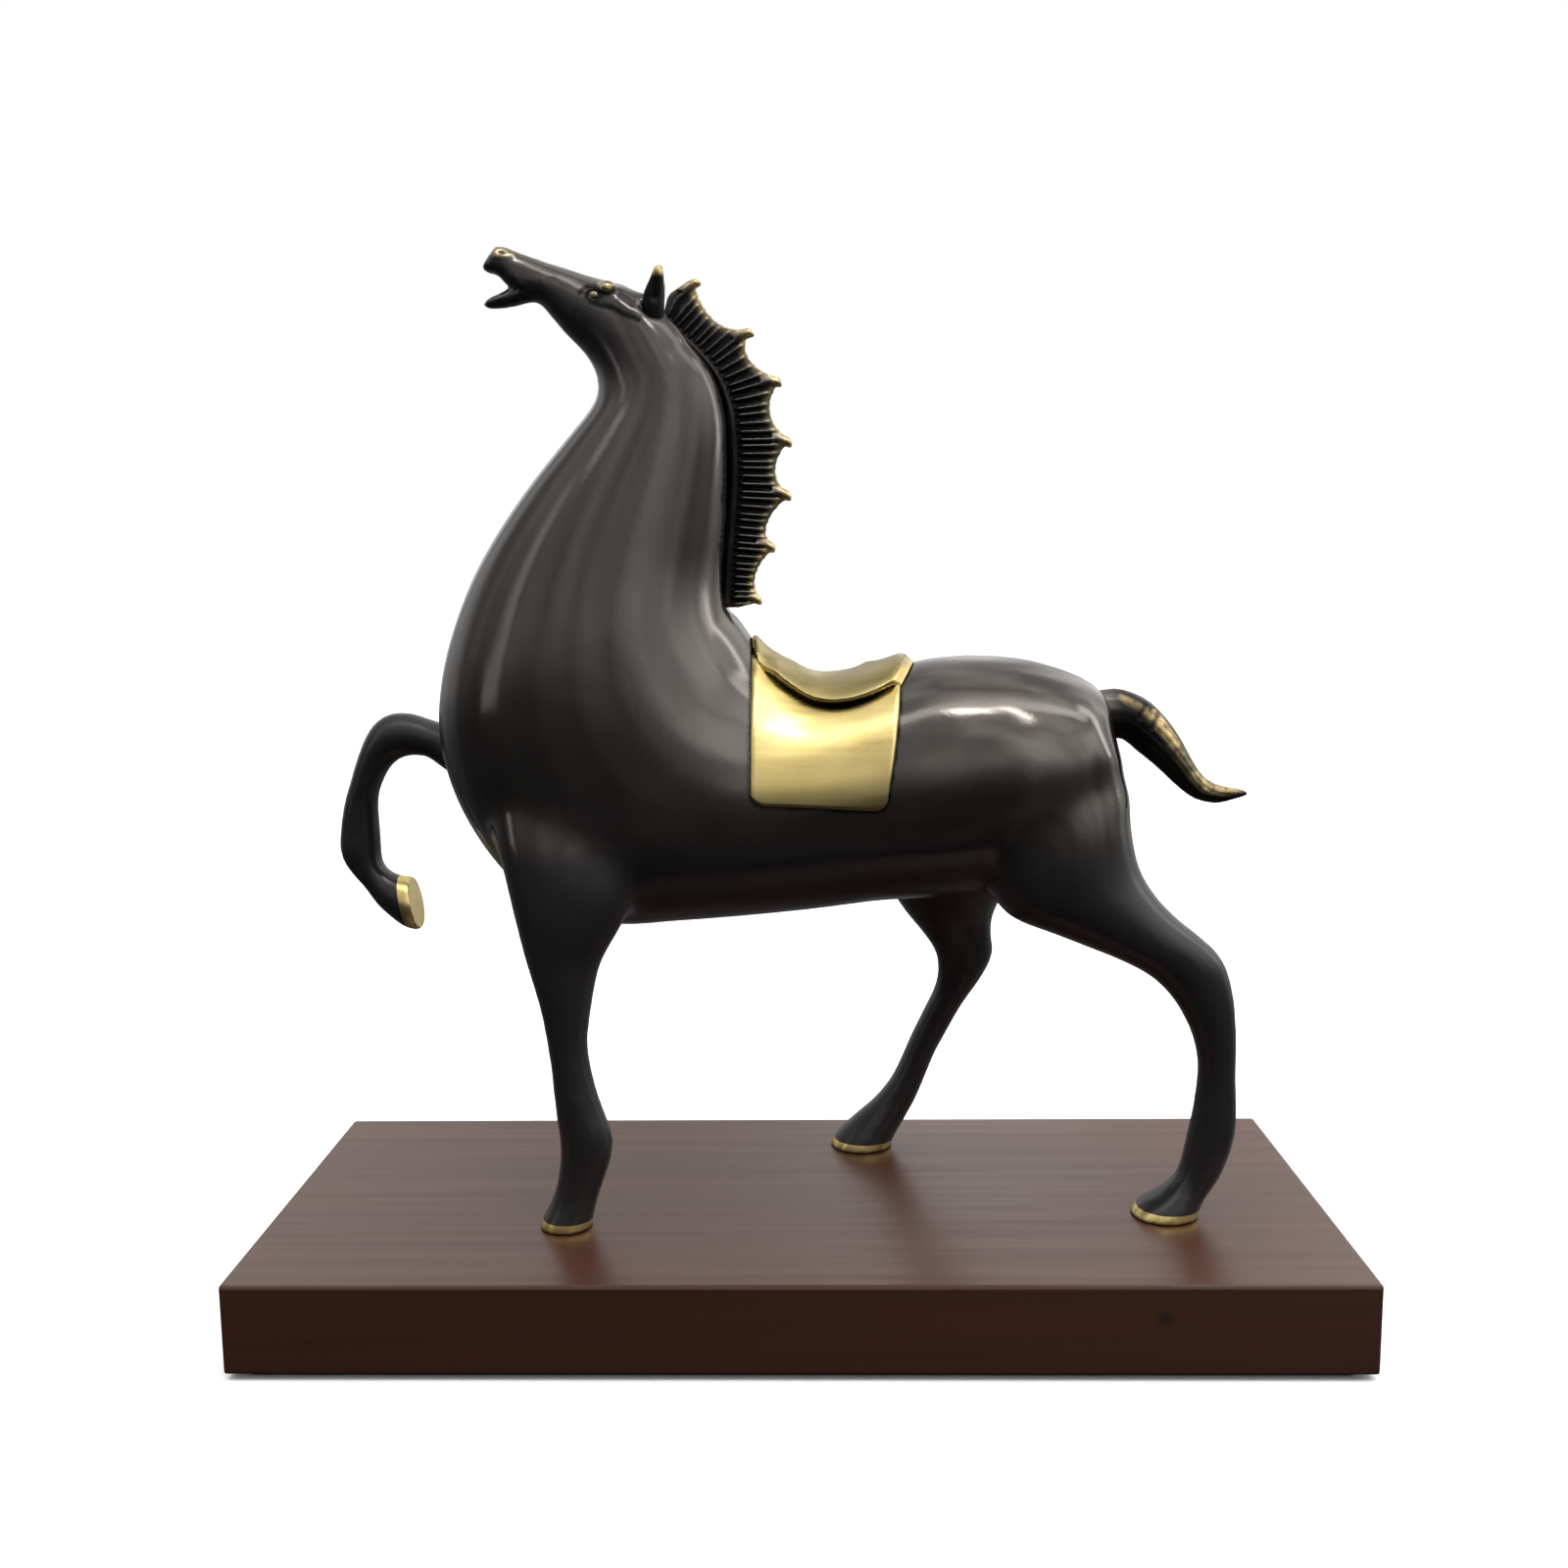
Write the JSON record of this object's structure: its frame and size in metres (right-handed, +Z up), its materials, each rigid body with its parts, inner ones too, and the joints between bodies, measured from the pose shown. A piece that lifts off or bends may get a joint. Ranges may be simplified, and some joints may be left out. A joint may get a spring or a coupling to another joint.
{
  "type": "horse statue",
  "caption": "Bronze horse statue prancing on a wooden plinth, with a raised foreleg, a comb-like mane and a brass saddle. It stands on a flat felted base.",
  "frame": {"origin": "middle of the base, on the surface that the statue stands on", "axes": "+Z up, +X along the plinth from the horse's head to its tail, +Y across the plinth to the horse's right side"},
  "size_m": [0.4, 0.16, 0.3957],
  "materials": {
    "bronze_patina": "satin brown-grey bronze patina",
    "black_patina": "near-black patina with edges rubbed to brass",
    "polished_brass": "satin polished brass",
    "wood": "satin lacquered dark red-brown wood",
    "felt": "dark felt",
    "steel": "plain steel"
  },
  "bodies": {
    "root": {"plinth": "wood", "base_felt": "felt", "trunk_casting": "bronze_patina", "neck_casting": "bronze_patina", "neck_collar": "steel", "head_casting": "bronze_patina", "head_pin": "steel", "ear_left": "black_patina", "ear_right": "black_patina", "mane_crest": "black_patina", "tail": "black_patina", "foreleg_left": "bronze_patina", "foreleg_right": "bronze_patina", "hindleg_left": "bronze_patina", "hindleg_right": "bronze_patina", "foreleg_left_pin": "steel", "foreleg_right_pin": "steel", "hindleg_left_pin": "steel", "hindleg_right_pin": "steel", "fore_left_shoe": "polished_brass", "fore_right_shoe": "polished_brass", "hind_left_shoe": "polished_brass", "hind_right_shoe": "polished_brass", "saddle_flap": "polished_brass", "saddle_seat": "polished_brass", "saddle_peg_front": "steel", "saddle_peg_rear": "steel", "fore_left_stud": "steel", "fore_left_washer": "steel", "fore_left_nut": "steel", "hind_left_stud": "steel", "hind_left_washer": "steel", "hind_left_nut": "steel", "hind_right_stud": "steel", "hind_right_washer": "steel", "hind_right_nut": "steel"}
  },
  "joints": []
}
